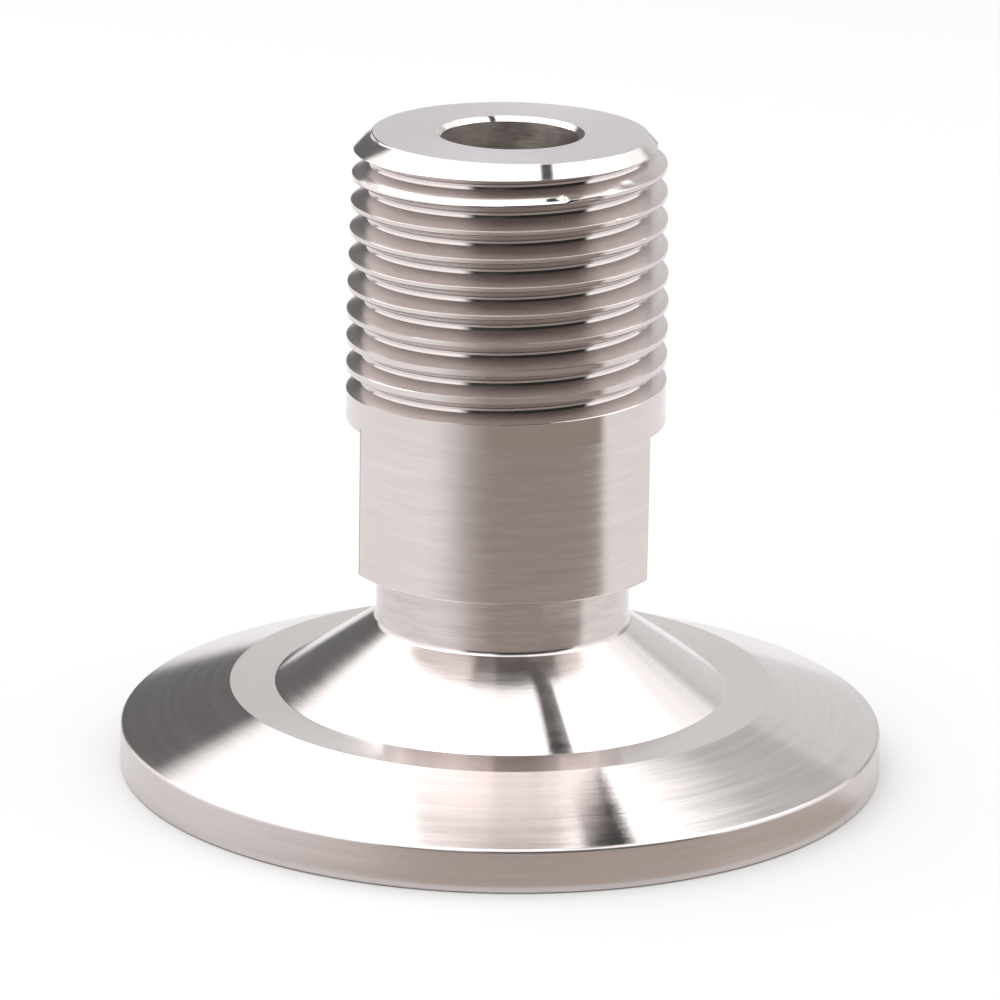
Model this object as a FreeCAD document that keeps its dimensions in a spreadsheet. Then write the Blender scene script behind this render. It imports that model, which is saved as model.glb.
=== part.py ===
"""Sanitary clamp threaded adapter, turned from one bar of stainless steel.

A clamp flange stands at the foot, a stem with two wrench flats rises from it, and the
stem's end carries a tapered pipe thread. One bore runs straight through.
The origin is the middle of the sealing face. Up is the axis, from the flange to the thread.
Lengths are in millimetres and angles in degrees.
"""
import FreeCAD, Part
import os
import Sketcher

SIZES = {
    # Clamp flange: a ferrule for 1.5 inch tube, gripped between its face and its sloping back
    "flange_diameter": 50.5,
    "rim_thickness": 2.85,
    "rim_top_bevel": 0.3,
    "rim_face_bevel": 0.15,
    "clamp_angle": 20.0,
    "ring_outer_diameter": 36.0,
    "ring_inner_diameter": 30.0,
    # Gasket groove in the sealing face, with a flat land between it and the rim
    "gasket_groove_land": 1.9,
    "gasket_groove_width": 3.2,
    "gasket_groove_floor": 1.4,
    "gasket_groove_depth": 1.4,
    # Neck between the flange and the stem
    "neck_diameter": 16.7,
    "neck_foot_height": 10.05,
    "neck_foot_bevel": 0.4,
    "neck_length": 4.05,
    # Stem, as thick as the bar, with two wrench flats under a collar
    "stem_diameter": 20.95,
    "flat_depth": 1.075,
    "flats_length": 9.7,
    "collar_length": 2.55,
    # Tapered pipe thread: 14 turns to the inch, 55 degree form, taper 1 in 16
    "thread_length": 16.44,
    "thread_nose_drop": 0.345,
    "thread_taper": 0.0625,
    "thread_pitch": 1.8143,
    "thread_form_angle": 55.0,
    "runout_turns": 0.5,
    "runout_rise": 1.25,
    "nose_chamfer": 1.2,
    # Bore, straight through
    "bore_diameter": 9.0,
    "bore_chamfer": 0.3,
}

# 55 degree thread form, cut off a sixth of its height from each point: shares of the pitch
FORM_DEPTH_RATIO = 0.640327
ROOT_FLAT_RATIO = 0.166667
# How far a cutting outline stands clear of the metal that it cuts: shares of the pitch
CLEAR_RATIO = 0.055
WIDE_CLEAR_RATIO = 1.1
# Two edges at one height and radius are told apart to this distance
SAME_PLACE = 0.01

doc = FreeCAD.newDocument("adapter")
sheet = doc.addObject("Spreadsheet::Sheet", "Sizes")
for row, (alias, value) in enumerate(SIZES.items(), start=1):
    sheet.set(f"A{row}", alias)
    sheet.set(f"B{row}", str(value))
    sheet.setAlias(f"B{row}", alias)
doc.recompute()

body = doc.addObject("PartDesign::Body", "Adapter")
body.Label = "adapter"

# Heights up the axis and radii, each an expression of the sizes above
rim_radius = "Sizes.flange_diameter / 2"
ring_outer_radius = "Sizes.ring_outer_diameter / 2"
ring_inner_radius = "Sizes.ring_inner_diameter / 2"
ring_height = (f"(Sizes.rim_thickness + ({rim_radius} - {ring_outer_radius})"
               " * tan(Sizes.clamp_angle))")
neck_radius = "Sizes.neck_diameter / 2"
neck_foot = "Sizes.neck_foot_height"
stem_radius = "Sizes.stem_diameter / 2"
stem_foot = f"({neck_foot} + Sizes.neck_length)"
flats_top = f"({stem_foot} + Sizes.flats_length)"
thread_foot = f"({flats_top} + Sizes.collar_length)"
nose = f"({thread_foot} + Sizes.thread_length)"
nose_radius = f"({stem_radius} - Sizes.thread_nose_drop)"
bore_radius = "Sizes.bore_diameter / 2"


def size(expression):
    """Value of an expression at the sheet's present sizes."""
    return float(sheet.evalExpression(expression))


def attached_sketch(name, role, lift=None):
    """Empty sketch on one of the body's own origin planes, or lifted above it."""
    sketch = body.newObject("Sketcher::SketchObject", name)
    plane = next(item for item in body.Origin.OriginFeatures if item.Role == role)
    sketch.AttachmentSupport = (plane, [""])
    sketch.MapMode = "FlatFace"
    if lift:
        sketch.setExpression("AttachmentOffset.Base.z", lift)
    return sketch


def tie(sketch, kind, where, expression):
    """One constraint of a sketch, bound to an expression of the sizes."""
    row = sketch.addConstraint(Sketcher.Constraint(kind, *where, size(expression)))
    sketch.setExpression(f"Constraints[{row}]", expression)


def tie_point(sketch, side, end, across, up):
    """Place one end of a side at a distance across and up from the sketch's origin."""
    origin_point = (-1, 1)
    tie(sketch, "DistanceX", (*origin_point, side, end), across)
    tie(sketch, "DistanceY", (*origin_point, side, end), up)


def outline(sketch, corners):
    """Closed outline of straight sides through corners, each a pair of expressions."""
    first = sketch.GeometryCount
    points = [FreeCAD.Vector(size(across), size(up), 0) for across, up in corners]
    sides = [Part.LineSegment(start, end) for start, end in zip(points, points[1:] + points[:1])]
    sketch.addGeometry(sides, False)
    for step, (across, up) in enumerate(corners):
        side = first + step
        following = first + (step + 1) % len(corners)
        sketch.addConstraint(Sketcher.Constraint("Coincident", side, 2, following, 1))
        tie_point(sketch, side, 1, across, up)


def turn(kind, name, sketch):
    """Revolve a sketch once round the axis, to add metal or to cut it."""
    feature = body.newObject(kind, name)
    feature.Profile = sketch
    feature.ReferenceAxis = (sketch, ["V_Axis"])
    feature.Angle = 360
    return feature


def recompute_cut(feature):
    """Recompute after a cutting feature and make sure that it took metal away."""
    doc.recompute()
    if not feature.Shape.Volume < feature.BaseFeature.Shape.Volume:
        raise RuntimeError(f"{feature.Label} takes nothing away")


def edge_at(height, radius):
    """Name of the body's circular edge at a height and a radius."""
    for number, edge in enumerate(body.Tip.Shape.Edges, start=1):
        curve = edge.Curve
        if (isinstance(curve, Part.Circle) and abs(curve.Radius - size(radius)) < SAME_PLACE
                and abs(curve.Center.z - size(height)) < SAME_PLACE):
            return f"Edge{number}"
    raise RuntimeError(f"no round edge at height {height}, radius {radius}")


def bevel_edges(name, edges, expression):
    """Chamfer round edges, each given by its height and radius."""
    names = [edge_at(height, radius) for height, radius in edges]
    base = body.Tip
    feature = body.newObject("PartDesign::Chamfer", name)
    feature.Base = (base, names)
    feature.setExpression("Size", expression)
    doc.recompute()
    if feature.Shape.Volume == base.Shape.Volume:
        raise RuntimeError(f"{name} changes nothing")


# Bar stock turned to the flange, the neck and the stem, with length to spare past the nose
clear = f"({CLEAR_RATIO} * Sizes.thread_pitch)"
wide_clear = f"({WIDE_CLEAR_RATIO} * Sizes.thread_pitch)"
stock_end = f"({nose} + 2 * Sizes.thread_pitch + {wide_clear})"
stock = attached_sketch("StockProfile", "XZ_Plane")
outline(stock, [
    ("0", "0"),
    (rim_radius, "0"),
    (rim_radius, "Sizes.rim_thickness"),
    (ring_outer_radius, ring_height),
    (ring_inner_radius, ring_height),
    (neck_radius, neck_foot),
    (neck_radius, stem_foot),
    (stem_radius, stem_foot),
    (stem_radius, stock_end),
    ("0", stock_end),
])
turn("PartDesign::Revolution", "TurnedStock", stock)
doc.recompute()

# Thread groove: a 55 degree form on the left of the axis, at the thread's foot
depth = f"({FORM_DEPTH_RATIO} * Sizes.thread_pitch)"
half_root = f"({ROOT_FLAT_RATIO} * Sizes.thread_pitch / 2)"
flank_slope = "tan(Sizes.thread_form_angle / 2)"
foot_radius = f"({nose_radius} + Sizes.thread_length * Sizes.thread_taper / 2)"
root_radius = f"({foot_radius} - {depth})"
mouth_radius = f"({foot_radius} + {clear})"
half_mouth = f"({half_root} + ({mouth_radius} - {root_radius}) * {flank_slope})"
outer_radius = f"(max({mouth_radius}; {stem_radius}) + {wide_clear})"
form = attached_sketch("ThreadForm", "XZ_Plane")
outline(form, [
    (f"-{root_radius}", f"{thread_foot} - {half_root}"),
    (f"-{root_radius}", f"{thread_foot} + {half_root}"),
    (f"-{mouth_radius}", f"{thread_foot} + {half_mouth}"),
    (f"-{outer_radius}", f"{thread_foot} + {half_mouth}"),
    (f"-{outer_radius}", f"{thread_foot} - {half_mouth}"),
    (f"-{mouth_radius}", f"{thread_foot} - {half_mouth}"),
])

thread = body.newObject("PartDesign::SubtractiveHelix", "Thread")
thread.Profile = form
thread.ReferenceAxis = (form, ["V_Axis"])
thread.Mode = "pitch-height-angle"
thread.setExpression("Pitch", "Sizes.thread_pitch")
thread.setExpression("Height", "Sizes.thread_length + Sizes.thread_pitch")
thread.setExpression("Angle", "-atan(Sizes.thread_taper / 2)")
recompute_cut(thread)

# Run-out: the same groove goes on below the thread's foot and climbs out of the metal
runout = body.newObject("PartDesign::SubtractiveHelix", "ThreadRunout")
runout.Profile = form
runout.ReferenceAxis = (form, ["V_Axis"])
runout.Mode = "height-turns-growth"
runout.Reversed = True
runout.setExpression("Height", "Sizes.runout_turns * Sizes.thread_pitch")
runout.setExpression("Turns", "Sizes.runout_turns")
runout.setExpression("Growth", "Sizes.runout_rise / Sizes.runout_turns")
recompute_cut(runout)

# The threaded end is faced at the nose, turned down to its taper, then chamfered at 45 degrees
outside = f"({outer_radius} + {wide_clear})"
above = f"({stock_end} + {wide_clear})"
facing = attached_sketch("FacingProfile", "XZ_Plane")
outline(facing, [("0", nose), (outside, nose), (outside, above), ("0", above)])
recompute_cut(turn("PartDesign::Groove", "NoseFace", facing))

taper = attached_sketch("TaperProfile", "XZ_Plane")
outline(taper, [
    (f"{nose_radius} - ({above} - {nose}) * Sizes.thread_taper / 2", above),
    (foot_radius, thread_foot),
    (outside, thread_foot),
    (outside, above),
])
recompute_cut(turn("PartDesign::Groove", "ThreadTaper", taper))

chamfer_foot = f"({nose_radius} - Sizes.nose_chamfer)"
chamfer_reach = f"({outside} - {chamfer_foot})"
chamfer = attached_sketch("ChamferProfile", "XZ_Plane")
outline(chamfer, [
    (chamfer_foot, nose),
    (outside, f"{nose} - {chamfer_reach}"),
    (outside, above),
    (chamfer_foot, above),
])
recompute_cut(turn("PartDesign::Groove", "NoseChamfer", chamfer))

# Two wrench flats, left and right of the axis, under the collar
half_flats = f"{stem_radius} - Sizes.flat_depth"
beyond = f"{stem_radius} + {wide_clear}"
flats = attached_sketch("FlatsProfile", "XY_Plane", f"{stem_foot} - Sizes.neck_length / 2")
for side in ("", "-"):
    outline(flats, [
        (f"{side}({half_flats})", f"-({beyond})"),
        (f"{side}({beyond})", f"-({beyond})"),
        (f"{side}({beyond})", beyond),
        (f"{side}({half_flats})", beyond),
    ])
flats_cut = body.newObject("PartDesign::Pocket", "WrenchFlats")
flats_cut.Profile = flats
flats_cut.Reversed = True
flats_cut.setExpression("Length", "Sizes.flats_length + Sizes.neck_length / 2")
recompute_cut(flats_cut)

# Bore, straight through, chamfered at both ends
bore = attached_sketch("BoreProfile", "XY_Plane")
bore.addGeometry(Part.Circle(FreeCAD.Vector(0, 0, 0), FreeCAD.Vector(0, 0, 1), size(bore_radius)))
bore.addConstraint(Sketcher.Constraint("Coincident", 0, 3, -1, 1))
tie(bore, "Radius", (0,), bore_radius)
bore_cut = body.newObject("PartDesign::Pocket", "Bore")
bore_cut.Profile = bore
bore_cut.Type = "ThroughAll"
bore_cut.Reversed = True
recompute_cut(bore_cut)
bevel_edges("BoreChamfers", [("0", bore_radius), (nose, bore_radius)], "Sizes.bore_chamfer")

# Gasket groove in the sealing face
half_groove = "Sizes.gasket_groove_width / 2"
groove_middle = f"{rim_radius} - Sizes.gasket_groove_land - {half_groove}"
half_floor = "Sizes.gasket_groove_floor / 2"
gasket = attached_sketch("GasketGrooveProfile", "XZ_Plane")
outline(gasket, [
    (f"{groove_middle} - {half_groove}", "0"),
    (f"{groove_middle} + {half_groove}", "0"),
    (f"{groove_middle} + {half_floor}", "Sizes.gasket_groove_depth"),
    (f"{groove_middle} - {half_floor}", "Sizes.gasket_groove_depth"),
])
recompute_cut(turn("PartDesign::Groove", "GasketGroove", gasket))

# Small bevels on the turned edges
bevel_edges("NeckFootBevel", [(neck_foot, neck_radius)], "Sizes.neck_foot_bevel")
bevel_edges("RimTopBevel", [("Sizes.rim_thickness", rim_radius)], "Sizes.rim_top_bevel")
bevel_edges("RimFaceBevel", [("0", rim_radius)], "Sizes.rim_face_bevel")

# Every object has to be sound before the part is written
for item in doc.Objects:
    if "Invalid" in item.State or "Error" in item.State:
        raise RuntimeError(f"{item.Label} did not rebuild: {item.State}")
shape = body.Shape
if shape.isNull() or not shape.isValid() or len(shape.Solids) != 1:
    raise RuntimeError("the adapter is not one sound solid")
os.makedirs("parts", exist_ok=True)
shape.exportStep(f"parts/{body.Label}.step")
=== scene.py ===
"""Looks of the sanitary clamp threaded adapter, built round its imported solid.

Lengths are in metres and angles in degrees, in the solid's own frame: the origin is the
middle of the sealing face, and up is the axis, from the clamp flange to the threaded nose.
"""
import math

import bmesh
import bpy
import numpy as np
from mathutils import Matrix, Vector


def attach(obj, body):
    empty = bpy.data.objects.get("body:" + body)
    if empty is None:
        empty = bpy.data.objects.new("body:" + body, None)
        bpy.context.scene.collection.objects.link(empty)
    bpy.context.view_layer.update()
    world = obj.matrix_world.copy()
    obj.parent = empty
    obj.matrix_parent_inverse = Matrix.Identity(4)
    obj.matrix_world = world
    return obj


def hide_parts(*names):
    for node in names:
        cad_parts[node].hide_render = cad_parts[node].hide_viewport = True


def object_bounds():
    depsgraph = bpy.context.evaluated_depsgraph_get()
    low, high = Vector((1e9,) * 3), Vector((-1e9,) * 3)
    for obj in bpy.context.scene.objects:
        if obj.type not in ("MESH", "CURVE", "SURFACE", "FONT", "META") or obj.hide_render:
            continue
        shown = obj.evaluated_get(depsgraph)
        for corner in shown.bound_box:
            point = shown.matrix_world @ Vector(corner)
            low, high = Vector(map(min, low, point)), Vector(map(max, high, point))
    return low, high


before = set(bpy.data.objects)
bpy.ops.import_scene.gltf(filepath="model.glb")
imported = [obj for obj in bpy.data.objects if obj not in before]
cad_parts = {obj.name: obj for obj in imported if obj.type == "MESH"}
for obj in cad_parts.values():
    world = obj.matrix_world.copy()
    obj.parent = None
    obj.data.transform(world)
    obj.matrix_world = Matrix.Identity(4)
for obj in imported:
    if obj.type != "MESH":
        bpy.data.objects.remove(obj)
solid_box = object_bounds()

# Camera: a long lens a little above the fitting, near enough to show the flange's ellipse.
# It stands in front of the wrench flats' edges and is rolled by a degree, as the photo is.
camera_distance = 0.3573
camera_elevation = 16.53
camera_azimuth = 0.0
camera_roll = 0.989
camera_lens = 195.8
sensor_width = 36.0
nearest_seen = 0.01
aim_height = 0.020
# The middle of the picture lies this far right of the aim and above it
middle_right = -0.00027
middle_up = -0.00190

camera_data = bpy.data.cameras.new("camera")
camera_data.lens = camera_lens
camera_data.sensor_width = sensor_width
camera_data.clip_start = nearest_seen
camera = bpy.data.objects.new("camera", camera_data)
bpy.context.scene.collection.objects.link(camera)
bpy.context.scene.camera = camera
turn_to_side = Matrix.Rotation(math.radians(camera_azimuth), 3, "Z")
sight = turn_to_side @ Vector((0, math.cos(math.radians(camera_elevation)),
                               -math.sin(math.radians(camera_elevation))))
rightwards = turn_to_side @ Vector((1, 0, 0))
upwards = rightwards.cross(sight)
aim = Vector((0, 0, aim_height))
camera.location = aim - camera_distance * sight
middle = aim + middle_right * rightwards + middle_up * upwards
look = (middle - camera.location).to_track_quat("-Z", "Y")
camera.rotation_mode = "QUATERNION"
camera.rotation_quaternion = look @ Matrix.Rotation(math.radians(camera_roll), 3, "Z").to_quaternion()

# Adapter, metal: one bar of stainless steel, turned on a lathe from the clamp flange to the
# bar's other end. The outline runs from the bore's foot outward over the flange and up the
# stem. The thread, the faced nose and the wrench flats are cut into it further down.
rim_radius = 0.02525
rim_height = 0.00285
rim_top_round = 0.0003
rim_foot_round = 0.0002
clamp_angle = 20.0
ring_outer = 0.0180
ring_inner = 0.0150
groove_land = 0.0019
groove_width = 0.0032
groove_floor = 0.0014
groove_depth = 0.0014
groove_edge_round = 0.0002
groove_floor_round = 0.0006
neck_radius = 0.00835
neck_foot = 0.01005
neck_foot_round = 0.0005
neck_top_round = 0.0002
stem_radius = 0.010475
stem_foot = 0.0141
stem_foot_round = 0.00015
bore_radius = 0.0045
bore_break = 0.0003

thread_pitch = 0.0018143
thread_foot = 0.02635
thread_turns = 10
sharp_round = 0.00008
ring_height = rim_height + (rim_radius - ring_outer) * math.tan(math.radians(clamp_angle))
thread_start = thread_foot - thread_pitch
bar_end = thread_foot + thread_turns * thread_pitch
groove_outer = rim_radius - groove_land
groove_inner = groove_outer - groove_width
groove_slope = (groove_width - groove_floor) / 2


def rounded(corners, arc_steps=4):
    """Outline through corners (radius, height, rounding), with an arc at each rounding."""
    points = []
    for before, (radius, height, rounding), after in zip(corners, corners[1:], corners[2:]):
        corner = Vector((radius, height))
        back = (Vector(before[:2]) - corner).normalized()
        ahead = (Vector(after[:2]) - corner).normalized()
        half = back.angle(ahead) / 2
        inward = (back + ahead).normalized()
        centre = corner + inward * (rounding / math.sin(half))
        sweep = math.copysign(math.pi / 2 - half, back.cross(ahead))
        for step in range(arc_steps + 1):
            turned = Matrix.Rotation(sweep * (1 - 2 * step / arc_steps), 2)
            points.append(centre - turned @ inward * rounding)
    return [Vector(corners[0][:2])] + points + [Vector(corners[-1][:2])]


turned_outline = rounded([
    (bore_radius, thread_start, 0),
    (bore_radius, bore_break, sharp_round),
    (bore_radius + bore_break, 0, sharp_round),
    (groove_inner, 0, groove_edge_round),
    (groove_inner + groove_slope, groove_depth, groove_floor_round),
    (groove_outer - groove_slope, groove_depth, groove_floor_round),
    (groove_outer, 0, groove_edge_round),
    (rim_radius, 0, rim_foot_round),
    (rim_radius, rim_height, rim_top_round),
    (ring_outer, ring_height, sharp_round),
    (ring_inner, ring_height, sharp_round),
    (neck_radius, neck_foot, neck_foot_round),
    (neck_radius, stem_foot, neck_top_round),
    (stem_radius, stem_foot, stem_foot_round),
    (stem_radius, thread_start, 0),
])

# Thread of the adapter: a tapered pipe thread, cut into the bar with a tool of 55 degree form.
# The tool climbs out of the metal over half a turn behind, and the bar is too thin for the last
# crests. The second crest from the nose is broken along the front and a little dented.
form_angle = 55
depth_per_pitch = 0.640327
form_depth = depth_per_pitch * thread_pitch
form_flat = thread_pitch / 6
flank_slope = math.tan(math.radians(form_angle / 2))
crest_upper_round = 0.00003
crest_lower_round = 0.00011
# The root isn't quite upright: its upper and lower parts lean by these angles
root_upper_lean = 2
root_lower_lean = 16
root_upper_slope = math.tan(math.radians(root_upper_lean))
root_lower_slope = math.tan(math.radians(root_lower_lean))
root_corner_round = 0.00004
root_middle_round = 0.00030
thread_taper = 1 / 16
nose_height = solid_box[1][2]
nose_radius = 0.01013
runout_rise = 0.00125
row_step = 0.00013
spare_turns = 2
plain_columns = 120
fine_columns = 72
fine_from = math.radians(-72)
fine_to = math.radians(-22)
weld_distance = 1e-7
shortest_edge = 1e-8
# The second crest is broken at 45 degrees, from a little under its middle up to its upper edge,
# along this part of its way. Ways are in turns along the thread.
broken_crest = 8.5
broken_from = broken_crest - 165 / 360
broken_to = broken_crest - 62 / 360
broken_start = -0.00003
broken_fade = 0.02
# Dents: angle round the axis in degrees, turns up to the crest, height above the crest's
# middle, half width, half height and depth
dents = [
    (-67.5, 8.5, 0.00026, 0.00060, 0.00012, 0.00006),
    (-59.0, 8.5, 0.00010, 0.00060, 0.00006, 0.00003),
    (-50.0, 8.5, 0.00016, 0.00045, 0.00008, 0.00003),
    (-40.5, 8.5, 0.00034, 0.00060, 0.00012, 0.00010),
    (-40.5, 9.5, 0.00000, 0.00030, 0.00020, 0.00012),
    (-47.0, 7.5, 0.00012, 0.00020, 0.00007, 0.00005),
    (-33.0, 6.5, 0.00012, 0.00016, 0.00007, 0.00005),
]

half_flat = form_flat / 2
root_upper = (-form_depth + half_flat * root_upper_slope, half_flat)
lower_reach = half_flat * root_lower_slope / (1 - flank_slope * root_lower_slope)
root_lower = (-form_depth + lower_reach, -half_flat - lower_reach * flank_slope)
form_outline = rounded([
    (0, -thread_pitch / 2, 0),
    (0, half_flat - thread_pitch / 2, crest_upper_round),
    (*root_lower, 0),
    (-form_depth, 0, root_middle_round),
    (*root_upper, root_corner_round),
    (0, thread_pitch / 2 - half_flat, crest_lower_round),
    (0, thread_pitch / 2, 0),
])
form_radii = [point.x for point in form_outline]
form_heights = [point.y for point in form_outline]
# Closer rows where the first thread's flank meets the collar's full thickness
collar_rows = [-0.00072, -0.00070, -0.00068, -0.00066, -0.00064]
row_ends = sorted(form_heights + collar_rows)
pitch_rows = []
for low, high in zip(row_ends, row_ends[1:]):
    steps = max(1, round((high - low) / row_step))
    pitch_rows += [low + (high - low) * step / steps for step in range(steps)]


def dented(angle, height):
    """Depth of the dents at an angle round the axis, in radians, and a height."""
    depth = np.zeros(np.broadcast(angle, height).shape)
    for middle, turns, above_crest, half_width, half_height, deep in dents:
        level = thread_foot + thread_pitch * ((angle - math.pi) / (2 * math.pi) + turns) + above_crest
        along = (angle - math.radians(middle)) * nose_radius / half_width
        depth += deep * np.exp(-(along ** 2 + ((height - level) / half_height) ** 2) ** 2)
    return depth


def thread_radius(angle, height):
    """Radius of the threaded bar at an angle round the axis, in radians, and a height."""
    first_root = thread_foot + thread_pitch * (angle - math.pi) / (2 * math.pi)
    turn = np.round((height - first_root) / thread_pitch)
    above_root = height - first_root - turn * thread_pitch
    form = np.interp(above_root, form_heights, form_radii)
    wound = angle + 2 * math.pi * turn
    climb = runout_rise * np.clip((math.pi - wound) / math.pi, 0, 2)
    cone = nose_radius + (nose_height - height) * thread_taper / 2
    crest = np.floor((height - first_root) / thread_pitch) + 0.5
    above_crest = height - first_root - crest * thread_pitch
    way = crest + angle / (2 * math.pi)
    ends = np.clip((way - broken_from) / broken_fade, 0, 1) * np.clip((broken_to - way) / broken_fade, 0, 1)
    broken = cone + (1 - ends) * form_depth - (above_crest - broken_start)
    bar = np.full(broken.shape, stem_radius)
    return np.minimum.reduce([cone + form + climb, broken, bar]) - dented(angle, height)


def weld(mesh, distance, shortest=0.0, outward=True):
    """Joins points that lie together, drops edges that are too short and faces a mesh outward."""
    shell = bmesh.new()
    shell.from_mesh(mesh)
    bmesh.ops.remove_doubles(shell, verts=shell.verts, dist=distance)
    if shortest:
        bmesh.ops.dissolve_degenerate(shell, edges=shell.edges, dist=shortest)
    if outward:
        bmesh.ops.recalc_face_normals(shell, faces=shell.faces)
    shell.to_mesh(mesh)
    shell.free()


def threaded_bar():
    """Mesh of the bar with its thread, still longer than the nose, as one closed surface."""
    angles = np.concatenate([np.linspace(fine_from, fine_to, fine_columns, endpoint=False),
                             np.linspace(fine_to, fine_from + 2 * math.pi, plain_columns, endpoint=False)])
    columns = len(angles)
    heights = []
    # Turns past either end are spare, and their rows lie flat on the end
    for turn in range(-spare_turns, thread_turns + spare_turns + 1):
        root = thread_foot + thread_pitch * ((angles - math.pi) / (2 * math.pi) + turn)
        heights += [root + row for row in pitch_rows]
    heights = np.clip(np.array(heights), thread_start, bar_end)
    radii = thread_radius(angles[None, :], heights)
    plain = np.array([(point.x, point.y) for point in turned_outline])
    plain_radii = np.repeat(plain[:, :1], columns, axis=1)
    plain_heights = np.repeat(plain[:, 1:], columns, axis=1)
    top_radii = np.full((1, columns), bore_radius)
    top_heights = np.full((1, columns), bar_end)
    all_radii = np.vstack([plain_radii, radii, top_radii])
    all_heights = np.vstack([plain_heights, heights, top_heights])
    rows = len(all_radii)
    points = np.stack([all_radii * np.cos(angles), all_radii * np.sin(angles), all_heights], axis=2)
    plain_rows = len(plain)
    thread_rows = len(radii)
    pitch_count = len(pitch_rows)

    def neighbour(row):
        """Row of the first column that meets a row of the last column."""
        inside = row - plain_rows
        if 0 <= inside < thread_rows:
            return plain_rows + min(inside + pitch_count, thread_rows - 1)
        return row

    faces = []
    for row in range(rows):
        above = (row + 1) % rows
        for column in range(columns):
            if column < columns - 1:
                corner = (row * columns + column, row * columns + column + 1,
                          above * columns + column + 1, above * columns + column)
            else:
                corner = (row * columns + column, neighbour(row) * columns,
                          neighbour(above) * columns, above * columns + column)
            faces.append(corner)
    mesh = bpy.data.meshes.new("adapter_metal")
    mesh.from_pydata(points.reshape(-1, 3).tolist(), [], faces)
    weld(mesh, weld_distance, shortest_edge)
    return mesh


metal = bpy.data.objects.new("adapter_metal", threaded_bar())
bpy.context.scene.collection.objects.link(metal)

# Nose and wrench flats of the adapter: the bar's end is faced off, its outer edge chamfered at
# 45 degrees and the bore's mouth broken, with one turned cut. Two flats are milled into the
# stem, left and right, under a collar of full thickness.
chamfer_inner = 0.00893
nose_edge_round = 0.00012
mouth_round = 0.00006
tool_columns = 240
tool_inner = 0.0030
tool_outer = 0.0130
tool_top = bar_end + 0.002
tool_round = 0.0001
flat_distance = 0.0094
flat_top = 0.0238
flat_below = 0.0132
flat_reach = 0.0130
# After the cut: which points are joined, which edges dropped and which corners stay sharp
cut_weld_distance = 2e-7
cut_shortest_edge = 1e-7
sharp_angle = 32
large_face_weight = 80

nose_outline = rounded([
    (tool_inner, tool_top, 0),
    (tool_inner, nose_height - bore_break - (bore_radius - tool_inner), tool_round),
    (bore_radius + bore_break, nose_height, mouth_round),
    (chamfer_inner, nose_height, nose_edge_round),
    (tool_outer, nose_height - (tool_outer - chamfer_inner), tool_round),
    (tool_outer, tool_top, 0),
])


def nose_tool():
    """Ring that the bar's end is cut with: its lower side is the nose's own outline."""
    count = len(nose_outline)
    points = []
    for column in range(tool_columns):
        angle = 2 * math.pi * (column + 0.5) / tool_columns
        points += [(radius * math.cos(angle), radius * math.sin(angle), height)
                   for radius, height in nose_outline]
    faces = []
    for column in range(tool_columns):
        this = column * count
        following = (column + 1) % tool_columns * count
        for step in range(count):
            ahead = (step + 1) % count
            faces.append((this + step, this + ahead, following + ahead, following + step))
    return points, faces


def flat_tool(side):
    """Block that one wrench flat is milled with, on the right (1) or the left (-1)."""
    near, far = sorted((side * flat_distance, side * flat_reach))
    points = [(across, along, height) for across in (near, far)
              for along in (-flat_reach, flat_reach) for height in (flat_below, flat_top)]
    faces = [(0, 1, 3, 2), (4, 6, 7, 5), (0, 4, 5, 1), (2, 3, 7, 6), (0, 2, 6, 4), (1, 5, 7, 3)]
    return points, faces


cutter_points, cutter_faces = [], []
for points, faces in (nose_tool(), flat_tool(1), flat_tool(-1)):
    offset = len(cutter_points)
    cutter_points += points
    cutter_faces += [tuple(offset + corner for corner in face) for face in faces]
cutter_mesh = bpy.data.meshes.new("cutter")
cutter_mesh.from_pydata(cutter_points, [], cutter_faces)
weld(cutter_mesh, weld_distance)
cutter = bpy.data.objects.new("cutter", cutter_mesh)
bpy.context.scene.collection.objects.link(cutter)

cut = metal.modifiers.new("cut", "BOOLEAN")
cut.operation = "DIFFERENCE"
cut.solver = "EXACT"
cut.object = cutter
bpy.context.view_layer.update()
finished = bpy.data.meshes.new_from_object(metal.evaluated_get(bpy.context.evaluated_depsgraph_get()))
metal.modifiers.clear()
metal.data = finished
bpy.data.objects.remove(cutter)

weld(metal.data, cut_weld_distance, cut_shortest_edge, outward=False)
metal.data.shade_smooth()
metal.data.set_sharp_from_angle(angle=math.radians(sharp_angle))
even = metal.modifiers.new("even_normals", "WEIGHTED_NORMAL")
even.keep_sharp = True
even.weight = large_face_weight


# Finish of the adapter's metal: bare stainless steel with fine tool lines round the axis.
# Each surface has its own cut: bright threads, a brushed stem, polished cones, a satin nose.
# The lower edge of each crest is painted near black, and the flanks darken into the root: both painted
# shade.
grain_turn = 0.25
fine_streaks = 5.0
fine_detail = 3.0
broad_step = 6
broad_streaks = 2.0
broad_detail = 2.0
# What the two noises' sum, and the broad noise by itself, mostly lie between
sum_low = 0.6
sum_high = 1.4
broad_low = 0.3
broad_high = 0.7
polish_change = 0.15


def over(nodes, links, value, start, end, low=0.0, high=1.0, curve="SMOOTHSTEP"):
    """Number that goes from low to high while a value goes from start to end."""
    step = nodes.new("ShaderNodeMapRange")
    step.interpolation_type = curve
    for name, number in (("From Min", start), ("From Max", end), ("To Min", low), ("To Max", high)):
        step.inputs[name].default_value = number
    links.new(value, step.inputs["Value"])
    return step.outputs[0]


def worked(nodes, links, operation, first, second):
    """Result of one step of arithmetic on two numbers. The second may be a plain number."""
    step = nodes.new("ShaderNodeMath")
    step.operation = operation
    links.new(first, step.inputs[0])
    if isinstance(second, float):
        step.inputs[1].default_value = second
    else:
        links.new(second, step.inputs[1])
    return step.outputs[0]


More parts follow.
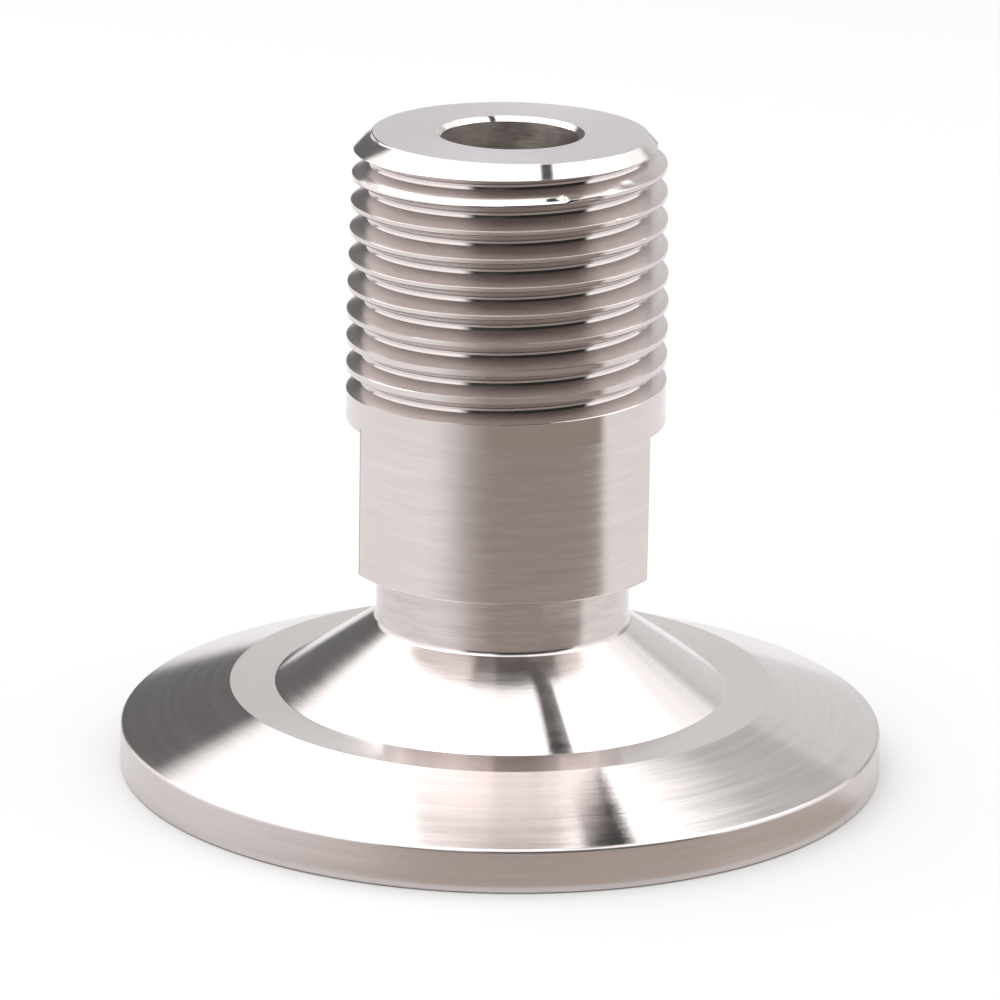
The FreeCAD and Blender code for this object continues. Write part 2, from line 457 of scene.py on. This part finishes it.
def turned_finish(name, colour, roughness, line_spacing, line_depth, shade_change, stretch=0.8,
                  painted_root_shade=1.0):
    """Steel with lines round the axis, its colour darkened to the given share in the thread's root as
    painted shade.
    """
    material = bpy.data.materials.new(name)
    material.use_nodes = True
    nodes = material.node_tree.nodes
    links = material.node_tree.links
    steel = nodes["Principled BSDF"]
    steel.inputs["Metallic"].default_value = 1.0
    steel.inputs["Anisotropic"].default_value = stretch
    steel.inputs["Anisotropic Rotation"].default_value = grain_turn
    place = nodes.new("ShaderNodeTexCoord")
    split = nodes.new("ShaderNodeSeparateXYZ")
    links.new(place.outputs["Object"], split.inputs[0])
    flat = nodes.new("ShaderNodeCombineXYZ")
    links.new(split.outputs["X"], flat.inputs["X"])
    links.new(split.outputs["Y"], flat.inputs["Y"])
    reach = nodes.new("ShaderNodeVectorMath")
    reach.operation = "LENGTH"
    links.new(flat.outputs[0], reach.inputs[0])
    around = nodes.new("ShaderNodeVectorMath")
    around.operation = "NORMALIZE"
    links.new(flat.outputs[0], around.inputs[0])

    def lines(spacing, streaks, detail):
        """Noise drawn out round the axis, with its own spacing across the lines."""
        wound = nodes.new("ShaderNodeVectorMath")
        wound.operation = "SCALE"
        wound.inputs["Scale"].default_value = streaks
        links.new(around.outputs[0], wound.inputs[0])
        upright = nodes.new("ShaderNodeCombineXYZ")
        links.new(worked(nodes, links, "DIVIDE", reach.outputs["Value"], spacing), upright.inputs["Z"])
        drawn = nodes.new("ShaderNodeVectorMath")
        drawn.operation = "ADD"
        links.new(wound.outputs[0], drawn.inputs[0])
        links.new(upright.outputs[0], drawn.inputs[1])
        noise = nodes.new("ShaderNodeTexNoise")
        noise.noise_dimensions = "4D"
        noise.inputs["Scale"].default_value = 1.0
        noise.inputs["Detail"].default_value = detail
        links.new(drawn.outputs[0], noise.inputs["Vector"])
        links.new(worked(nodes, links, "DIVIDE", split.outputs["Z"], spacing), noise.inputs["W"])
        return noise.outputs["Fac"]

    fine = lines(line_spacing, fine_streaks, fine_detail)
    broad = lines(line_spacing * broad_step, broad_streaks, broad_detail)
    bump = nodes.new("ShaderNodeBump")
    bump.inputs["Strength"].default_value = 1.0
    bump.inputs["Distance"].default_value = line_depth
    links.new(fine, bump.inputs["Height"])
    links.new(bump.outputs[0], steel.inputs["Normal"])
    grain = nodes.new("ShaderNodeTangent")
    grain.direction_type = "RADIAL"
    grain.axis = "Z"
    links.new(grain.outputs[0], steel.inputs["Tangent"])

    # How far a point lies out from the axis, with the thread's taper taken off
    cone = nodes.new("ShaderNodeMath")
    cone.operation = "MULTIPLY_ADD"
    cone.inputs[1].default_value = thread_taper / 2
    links.new(split.outputs["Z"], cone.inputs[0])
    links.new(reach.outputs["Value"], cone.inputs[2])
    crest = nose_radius + nose_height * thread_taper / 2
    # Painted shade: the colour darkens from half the thread's depth down into its root
    lit = over(nodes, links, cone.outputs[0], crest - form_depth, crest - form_depth / 2,
               painted_root_shade, 1.0, "LINEAR")
    shade = over(nodes, links, worked(nodes, links, "ADD", fine, broad), sum_low, sum_high,
                 1 - shade_change, 1 + shade_change, "LINEAR")
    tint = nodes.new("ShaderNodeVectorMath")
    tint.operation = "SCALE"
    tint.inputs[0].default_value = colour
    links.new(worked(nodes, links, "MULTIPLY", shade, lit), tint.inputs["Scale"])
    links.new(tint.outputs[0], steel.inputs["Base Color"])
    polish = over(nodes, links, broad, broad_low, broad_high, roughness * (1 - polish_change),
                  roughness * (1 + polish_change), "LINEAR")
    links.new(polish, steel.inputs["Roughness"])
    return material


steel_colour = (0.67, 0.608, 0.594)
bright_colour = (0.74, 0.692, 0.680)
# Near black: painted shade on the lower edge of each crest
painted_shade_edge_colour = (0.030, 0.025, 0.022)
# Each finish: its name, colour, roughness, line spacing, line depth and change of shade, and
# where they differ from the usual its stretch and its painted shade in the thread's root
finishes = {
    "nose_face": turned_finish("satin_nose", (0.685, 0.64, 0.663), 0.24, 0.00008, 0.000001, 0.03, 0.5),
    "nose_chamfer": turned_finish("bright_chamfer", bright_colour, 0.11, 0.00008, 0.000001, 0.03),
    "thread": turned_finish("cut_thread", steel_colour, 0.09, 0.00007, 0.0000005, 0.04, 0.4),
    "thread_flank": turned_finish("satin_flank", steel_colour, 0.24, 0.00012, 0.000001, 0.06, 0.3, 0.80),
    "thread_painted_shade_edge": turned_finish("painted_shade_edge", painted_shade_edge_colour, 0.30, 0.00012, 0.000001, 0.06, 0.3),
    # The stem's underside is lightened near white, painted light, so the cone under the neck mirrors it
    # lighter
    "shoulder": turned_finish("faced_shoulder_painted_light", (0.93, 0.91, 0.90), 0.12, 0.00012, 0.000004, 0.06, 0.2),
    "stem": turned_finish("brushed_stem", steel_colour, 0.24, 0.00007, 0.000003, 0.07),
    "neck": turned_finish("turned_neck", (0.63, 0.570, 0.560), 0.20, 0.00012, 0.000006, 0.14),
    "inner_cone": turned_finish("polished_cone", bright_colour, 0.13, 0.00010, 0.000004, 0.04, 1.0),
    "ring": turned_finish("satin_ring", bright_colour, 0.13, 0.00009, 0.000001, 0.03, 1.0),
    "outer_cone": turned_finish("brushed_cone", bright_colour, 0.12, 0.00009, 0.000004, 0.07, 1.0),
    "rim": turned_finish("brushed_rim", (0.61, 0.556, 0.548), 0.24, 0.00009, 0.000002, 0.06),
    "bore": turned_finish("drilled_bore", (0.54, 0.49, 0.46), 0.36, 0.00025, 0.000016, 0.25, 0.5),
    "sealing_face": turned_finish("faced_seal", steel_colour, 0.24, 0.00010, 0.000002, 0.05),
}
finish_order = list(finishes)
for surface in finish_order:
    metal.data.materials.append(finishes[surface])


# How near a face has to lie to a surface, outward or upward, to belong to it
bore_skin = 0.00002
mouth_outer = bore_radius + 1.2 * bore_break
nose_skin = 0.00005
chamfer_skin = 0.00004
shoulder_skin = 0.0001
shoulder_inner = neck_radius + 0.0003
neck_skin = 0.00025
rim_skin = 0.0002
# How far up a face has to look, from -1 for straight down to 1 for straight up
chamfer_upright = 0.3
flank_upright = 0.75
edge_upright = -0.15
shoulder_upright = -0.7
foot_upright = -0.5


def surface_at(radius, height, upright):
    """Name of the surface that a face belongs to, by its place and how far it faces up."""
    if radius < bore_radius + bore_skin:
        return "bore"
    if height > thread_start:
        if radius < mouth_outer:
            return "nose_chamfer"
        if height > nose_height - nose_skin:
            return "nose_face"
        past_chamfer = radius + height - chamfer_inner - nose_height
        if abs(past_chamfer) < chamfer_skin and upright > chamfer_upright:
            return "nose_chamfer"
        if abs(upright) > flank_upright:
            return "thread_flank"
        # Faces under a crest that look down get the near-black painted shade
        return "thread_painted_shade_edge" if upright < edge_upright else "thread"
    if height > stem_foot - shoulder_skin and radius > shoulder_inner:
        return "shoulder" if upright < shoulder_upright else "stem"
    if radius < neck_radius + neck_skin:
        return "neck"
    if upright < foot_upright or height < rim_foot_round:
        return "sealing_face"
    if radius > rim_radius - rim_skin:
        return "rim"
    if radius > ring_outer:
        return "outer_cone" if height > groove_depth else "sealing_face"
    if radius > ring_inner:
        return "ring" if height > groove_depth else "sealing_face"
    return "inner_cone"


for face in metal.data.polygons:
    centre = face.center
    face.material_index = finish_order.index(
        surface_at(math.hypot(centre.x, centre.y), centre.z, face.normal.z))

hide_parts("adapter")
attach(metal, "root")

# Floor: a plain pale table top, matt and far larger than the picture. The fitting stands on it
# on its sealing face.
floor_size = 6.0
floor_drop = 0.00002
floor_colour = (0.66, 0.66, 0.66)
floor_roughness = 0.9
floor_mesh = bpy.data.meshes.new("floor")
floor_mesh.from_pydata([(-floor_size, -floor_size, -floor_drop), (floor_size, -floor_size, -floor_drop),
                        (floor_size, floor_size, -floor_drop), (-floor_size, floor_size, -floor_drop)],
                       [], [(0, 1, 2, 3)])
floor = bpy.data.objects.new("floor", floor_mesh)
bpy.context.scene.collection.objects.link(floor)
pale = bpy.data.materials.new("pale_floor")
pale.use_nodes = True
pale.node_tree.nodes["Principled BSDF"].inputs["Base Color"].default_value = (*floor_colour, 1)
pale.node_tree.nodes["Principled BSDF"].inputs["Roughness"].default_value = floor_roughness
pale.node_tree.nodes["Principled BSDF"].inputs["Specular IOR Level"].default_value = 0.0
floor_mesh.materials.append(pale)

# Studio light: two large soft panels overhead with a narrow gap between them, in a pale tent.
# The metal also mirrors the boards that hang in the tent, the dark opening for the camera in
# front, and a painted reflection of a dark mat on the table before the fitting.
panel_height = 0.6
panel_light = 2.0
gap_offset = 0.265 * panel_height
gap_turn = math.radians(8.6)
gap_width = 0.10 * panel_height
gap_edge = gap_width / panel_height / 2
# Each panel in panel heights: its left and right edge from the gap's middle, and its front and
# back end. The third closes the front of the gap, and a dark beam closes the rest.
gap_front = -0.25
gap_back = 1.25
panels = [
    (-1.6, -gap_edge, -0.95, gap_back),
    (gap_edge, 1.1, -0.95, 0.62),
    (-gap_edge, gap_edge, -0.95, gap_front),
]
beam_light = 0.03


def on_ceiling(across, along):
    """Point of the ceiling, from its distances across and along the gap in panel heights."""
    turned = Matrix.Rotation(gap_turn, 3, "Z") @ Vector((across, along, 0))
    return Vector((gap_offset, 0, panel_height)) + panel_height * turned


for left, right, front, back in panels:
    panel_data = bpy.data.lights.new("panel", "AREA")
    panel_data.shape = "RECTANGLE"
    panel_data.size = (right - left) * panel_height
    panel_data.size_y = (back - front) * panel_height
    panel_data.energy = panel_light * math.pi * panel_data.size * panel_data.size_y
    panel = bpy.data.objects.new("panel", panel_data)
    panel.location = on_ceiling((left + right) / 2, (front + back) / 2)
    panel.rotation_euler = (0, 0, gap_turn)
    bpy.context.scene.collection.objects.link(panel)


def mirrored_sheet(name, points, faces):
    """Sheet that only mirror reflections see, and its material's node tree, with no shader yet."""
    mesh = bpy.data.meshes.new(name)
    mesh.from_pydata(points, [], faces)
    material = bpy.data.materials.new(name)
    material.use_nodes = True
    material.node_tree.nodes.remove(material.node_tree.nodes["Principled BSDF"])
    mesh.materials.append(material)
    sheet = bpy.data.objects.new(name, mesh)
    bpy.context.scene.collection.objects.link(sheet)
    sheet.visible_camera = False
    sheet.visible_diffuse = False
    sheet.visible_shadow = False
    sheet.visible_transmission = False
    return sheet, material.node_tree


beam_corners = ((-gap_edge, gap_front), (gap_edge, gap_front), (gap_edge, gap_back), (-gap_edge, gap_back))
beam_points = [on_ceiling(across, along) for across, along in beam_corners]
beam, beam_tree = mirrored_sheet("beam", beam_points, [(0, 1, 2, 3)])
beam_glow = beam_tree.nodes.new("ShaderNodeEmission")
beam_glow.inputs["Strength"].default_value = beam_light
beam_tree.links.new(beam_glow.outputs[0], beam_tree.nodes["Material Output"].inputs["Surface"])

room = bpy.data.worlds.new("room")
bpy.context.scene.world = room
room.use_nodes = True
room_nodes = room.node_tree.nodes
room_links = room.node_tree.links
sky = room_nodes["Background"]
sky_place = room_nodes.new("ShaderNodeTexCoord").outputs["Generated"]
sky_split = room_nodes.new("ShaderNodeSeparateXYZ")
room_links.new(sky_place, sky_split.inputs[0])
sky_height = sky_split.outputs["Z"]


def between(nodes, links, share, first, second):
    """Mix of two numbers by a share from 0 to 1. The second may be a plain number."""
    mix = nodes.new("ShaderNodeMix")
    mix.data_type = "FLOAT"
    links.new(share, mix.inputs["Factor"])
    for value, socket in ((first, mix.inputs["A"]), (second, mix.inputs["B"])):
        if isinstance(value, float):
            socket.default_value = value
        else:
            links.new(value, socket)
    return mix.outputs["Result"]


def board(behind, azimuth, half_width, low, high, shade, blur):
    """Board in front of what is behind it, as it is mirrored from the fitting."""
    angle = math.radians(azimuth)
    across, forward = [room_nodes.new("ShaderNodeVectorMath") for _ in range(2)]
    for node, way in ((across, (math.cos(angle), -math.sin(angle), 0)),
                      (forward, (math.sin(angle), math.cos(angle), 0))):
        node.operation = "DOT_PRODUCT"
        node.inputs[1].default_value = way
        room_links.new(sky_place, node.inputs[0])
    turned = worked(room_nodes, room_links, "ARCTAN2", across.outputs["Value"], forward.outputs["Value"])
    away = room_nodes.new("ShaderNodeMath")
    away.operation = "ABSOLUTE"
    room_links.new(turned, away.inputs[0])
    inside = over(room_nodes, room_links, away.outputs[0],
                  math.radians(half_width + blur), math.radians(half_width - blur))
    below = over(room_nodes, room_links, sky_height,
                 math.sin(math.radians(high + blur)), math.sin(math.radians(high - blur)))
    above = over(room_nodes, room_links, sky_height,
                 math.sin(math.radians(low - blur)), math.sin(math.radians(low + blur)))
    share = worked(room_nodes, room_links, "MULTIPLY", inside, below)
    share = worked(room_nodes, room_links, "MULTIPLY", share, above)
    return between(room_nodes, room_links, share, behind, shade)


# The tent's wall is bright up to where it turns into the dark ceiling
wall_light = 1.35
wall_top_from = 50
wall_top_to = 56
ceiling_dark = 0.04
# Each board: how far its middle stands round to the right from straight behind the fitting,
# its half width, its lower and upper elevation, its shade and the blur of its edges
boards = [
    # Behind: a pale wall, a dark board to its left, grey strips over it and to its right
    (12, 19, -20, 28, 0.78, 3),
    (-21.5, 15.5, -20, 32, 0.17, 3),
    (0, 14, 28, 42, 0.75, 4),
    (26, 15, 46, 66, 0.98, 2),
    (22, 13, 27, 47, 0.58, 4),
    (41, 11, -20, 22, 0.55, 4),
    # In front: the dark opening for the camera, lower on the left
    (150, 36, -20, 52, 0.03, 3),
    (-165, 19, -20, 26, 0.05, 6),
]
mirrored = over(room_nodes, room_links, sky_height, math.sin(math.radians(wall_top_from)),
                math.sin(math.radians(wall_top_to)), wall_light, ceiling_dark)
for azimuth, half_width, low, high, shade, blur in boards:
    mirrored = board(mirrored, azimuth, half_width, low, high, shade, blur)

# The light that falls on matt things is plain, and the camera sees a white background
plain_low = 0.95
plain_high = 0.12
plain_from = 28
plain_to = 50
background = 1.0
plain = over(room_nodes, room_links, sky_height, math.sin(math.radians(plain_from)),
             math.sin(math.radians(plain_to)), plain_low, plain_high)
seen = room_nodes.new("ShaderNodeLightPath")
level = between(room_nodes, room_links, seen.outputs["Is Glossy Ray"], plain, mirrored)
level = between(room_nodes, room_links, seen.outputs["Is Camera Ray"], level, background)
room_links.new(level, sky.inputs["Strength"])
sky.inputs["Color"].default_value = (1, 1, 1, 1)

# Painted reflection of a dark mat: a glowing sector over the table before the fitting, given by
# angles round the axis, that only mirror reflections see. It glows brighter close to the rim,
# and its left edge is more blurred than its right.
mat_inner = 0.0256
mat_outer = 0.45
mat_height = 0.0003
mat_shade = (0.43, 0.385, 0.348)
mat_left = (-57, -6)
mat_right = (66, 75)
mat_near = 0.034
mat_far = 0.044
mat_near_light = 1.45
mat_far_light = 0.88
mat_steps = 40
mat_points = []
for step in range(mat_steps + 1):
    angle = math.radians(mat_left[0] + (mat_right[1] - mat_left[0]) * step / mat_steps)
    mat_points += [(radius * math.sin(angle), -radius * math.cos(angle), mat_height)
                   for radius in (mat_inner, mat_outer)]
mat_faces = [(step * 2, step * 2 + 1, step * 2 + 3, step * 2 + 2) for step in range(mat_steps)]
painted_reflection_mat, mat_tree = mirrored_sheet("painted_reflection_mat", mat_points, mat_faces)
mat_nodes = mat_tree.nodes
mat_links = mat_tree.links
mat_glow = mat_nodes.new("ShaderNodeEmission")
mat_glow.inputs["Color"].default_value = (*mat_shade, 1)
mat_reach = mat_nodes.new("ShaderNodeVectorMath")
mat_reach.operation = "LENGTH"
mat_links.new(over(mat_nodes, mat_links, mat_reach.outputs["Value"], mat_near, mat_far, mat_near_light,
                   mat_far_light), mat_glow.inputs["Strength"])
mat_clear = mat_nodes.new("ShaderNodeBsdfTransparent")
mat_mix = mat_nodes.new("ShaderNodeMixShader")
mat_split = mat_nodes.new("ShaderNodeSeparateXYZ")
mat_place = mat_nodes.new("ShaderNodeTexCoord").outputs["Object"]
mat_links.new(mat_place, mat_split.inputs[0])
mat_links.new(mat_place, mat_reach.inputs[0])
mat_forward = worked(mat_nodes, mat_links, "MULTIPLY", mat_split.outputs["Y"], -1.0)
mat_turn = worked(mat_nodes, mat_links, "ARCTAN2", mat_split.outputs["X"], mat_forward)
mat_share = worked(mat_nodes, mat_links, "MULTIPLY",
                   over(mat_nodes, mat_links, mat_turn, *map(math.radians, mat_left)),
                   over(mat_nodes, mat_links, mat_turn, *map(math.radians, reversed(mat_right))))
mat_links.new(mat_share, mat_mix.inputs["Fac"])
mat_links.new(mat_clear.outputs[0], mat_mix.inputs[1])
mat_links.new(mat_glow.outputs[0], mat_mix.inputs[2])
mat_links.new(mat_mix.outputs[0], mat_nodes["Material Output"].inputs["Surface"])

bpy.context.scene.view_settings.view_transform = "Standard"
